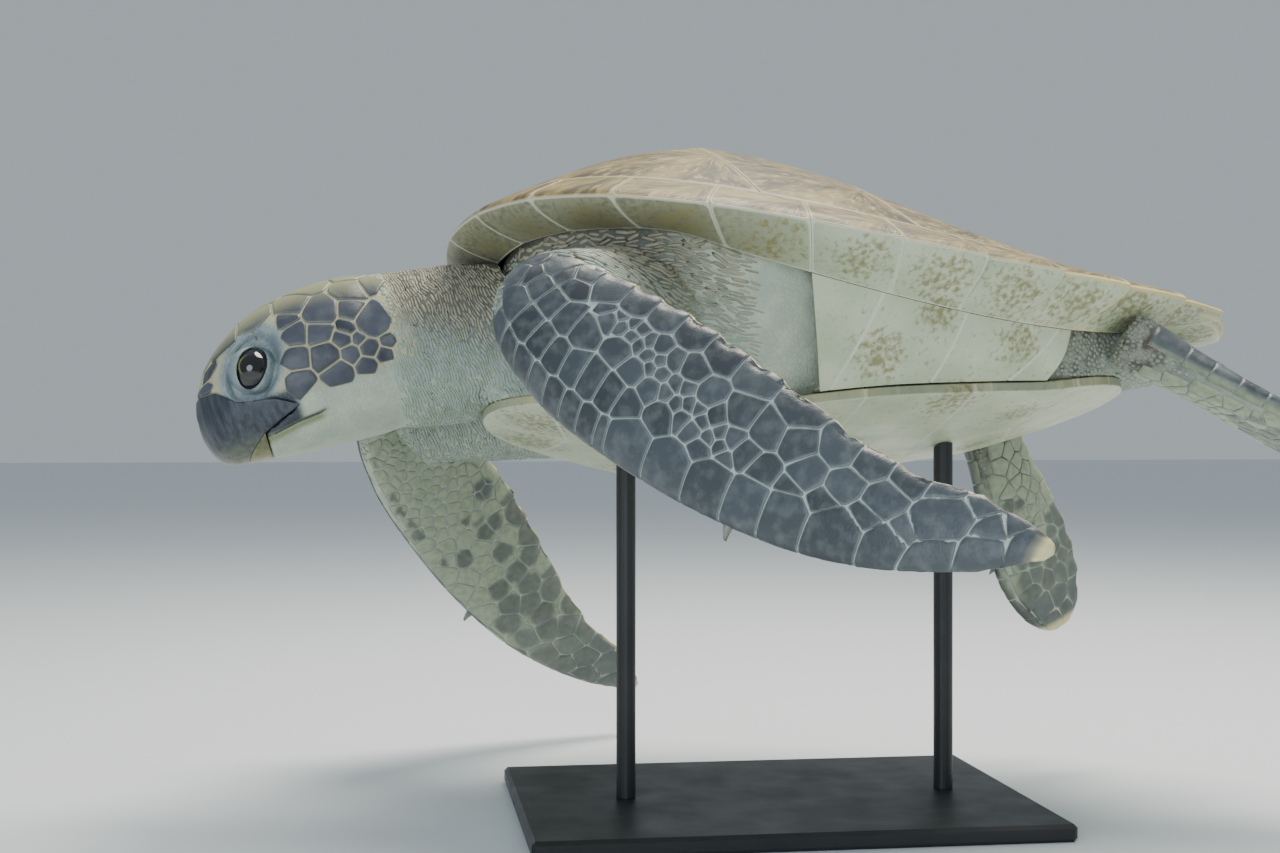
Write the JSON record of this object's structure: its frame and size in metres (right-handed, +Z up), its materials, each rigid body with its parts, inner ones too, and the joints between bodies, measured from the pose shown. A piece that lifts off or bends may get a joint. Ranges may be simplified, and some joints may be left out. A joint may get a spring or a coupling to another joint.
{
  "type": "green sea turtle model",
  "caption": "Life-size museum model of a green sea turtle swimming, banked and nose down, held on two rods above a flat base.",
  "frame": {"origin": "centre of the bounding box, at the underside of the stand's base", "axes": "+X from the head to the tail, -Y to the turtle's left side, +Z up"},
  "size_m": [0.9332, 0.8627, 0.5483],
  "materials": {
    "shell_plate": "smooth keratin plate, olive brown with rays",
    "belly_plate": "smooth keratin plate, pale cream",
    "skin": "scaly reptile skin",
    "horn": "satin horn",
    "eye": "wet, glossy",
    "stand_steel": "satin black paint"
  },
  "bodies": {
    "root": {"bridge_left": "belly_plate", "bridge_right": "belly_plate", "costal_left_1": "shell_plate", "costal_left_2": "shell_plate", "costal_left_3": "shell_plate", "costal_left_4": "shell_plate", "costal_right_1": "shell_plate", "costal_right_2": "shell_plate", "costal_right_3": "shell_plate", "costal_right_4": "shell_plate", "eye_left": "eye", "eye_right": "eye", "front_claw_left": "horn", "front_claw_right": "horn", "front_flipper_left": "skin", "front_flipper_right": "skin", "head": "skin", "hind_claw_left": "horn", "hind_claw_right": "horn", "hind_flipper_left": "skin", "hind_flipper_right": "skin", "lower_beak": "horn", "marginal_left_1": "shell_plate", "marginal_left_10": "shell_plate", "marginal_left_11": "shell_plate", "marginal_left_2": "shell_plate", "marginal_left_3": "shell_plate", "marginal_left_4": "shell_plate", "marginal_left_5": "shell_plate", "marginal_left_6": "shell_plate", "marginal_left_7": "shell_plate", "marginal_left_8": "shell_plate", "marginal_left_9": "shell_plate", "marginal_right_1": "shell_plate", "marginal_right_10": "shell_plate", "marginal_right_11": "shell_plate", "marginal_right_2": "shell_plate", "marginal_right_3": "shell_plate", "marginal_right_4": "shell_plate", "marginal_right_5": "shell_plate", "marginal_right_6": "shell_plate", "marginal_right_7": "shell_plate", "marginal_right_8": "shell_plate", "marginal_right_9": "shell_plate", "neck": "skin", "nuchal": "shell_plate", "plastron": "belly_plate", "stand_base": "stand_steel", "stand_rod_front": "stand_steel", "stand_rod_rear": "stand_steel", "supracaudal_left": "shell_plate", "supracaudal_right": "shell_plate", "tail": "skin", "trunk": "skin", "upper_beak": "horn", "vertebral_1": "shell_plate", "vertebral_2": "shell_plate", "vertebral_3": "shell_plate", "vertebral_4": "shell_plate", "vertebral_5": "shell_plate"}
  },
  "joints": []
}
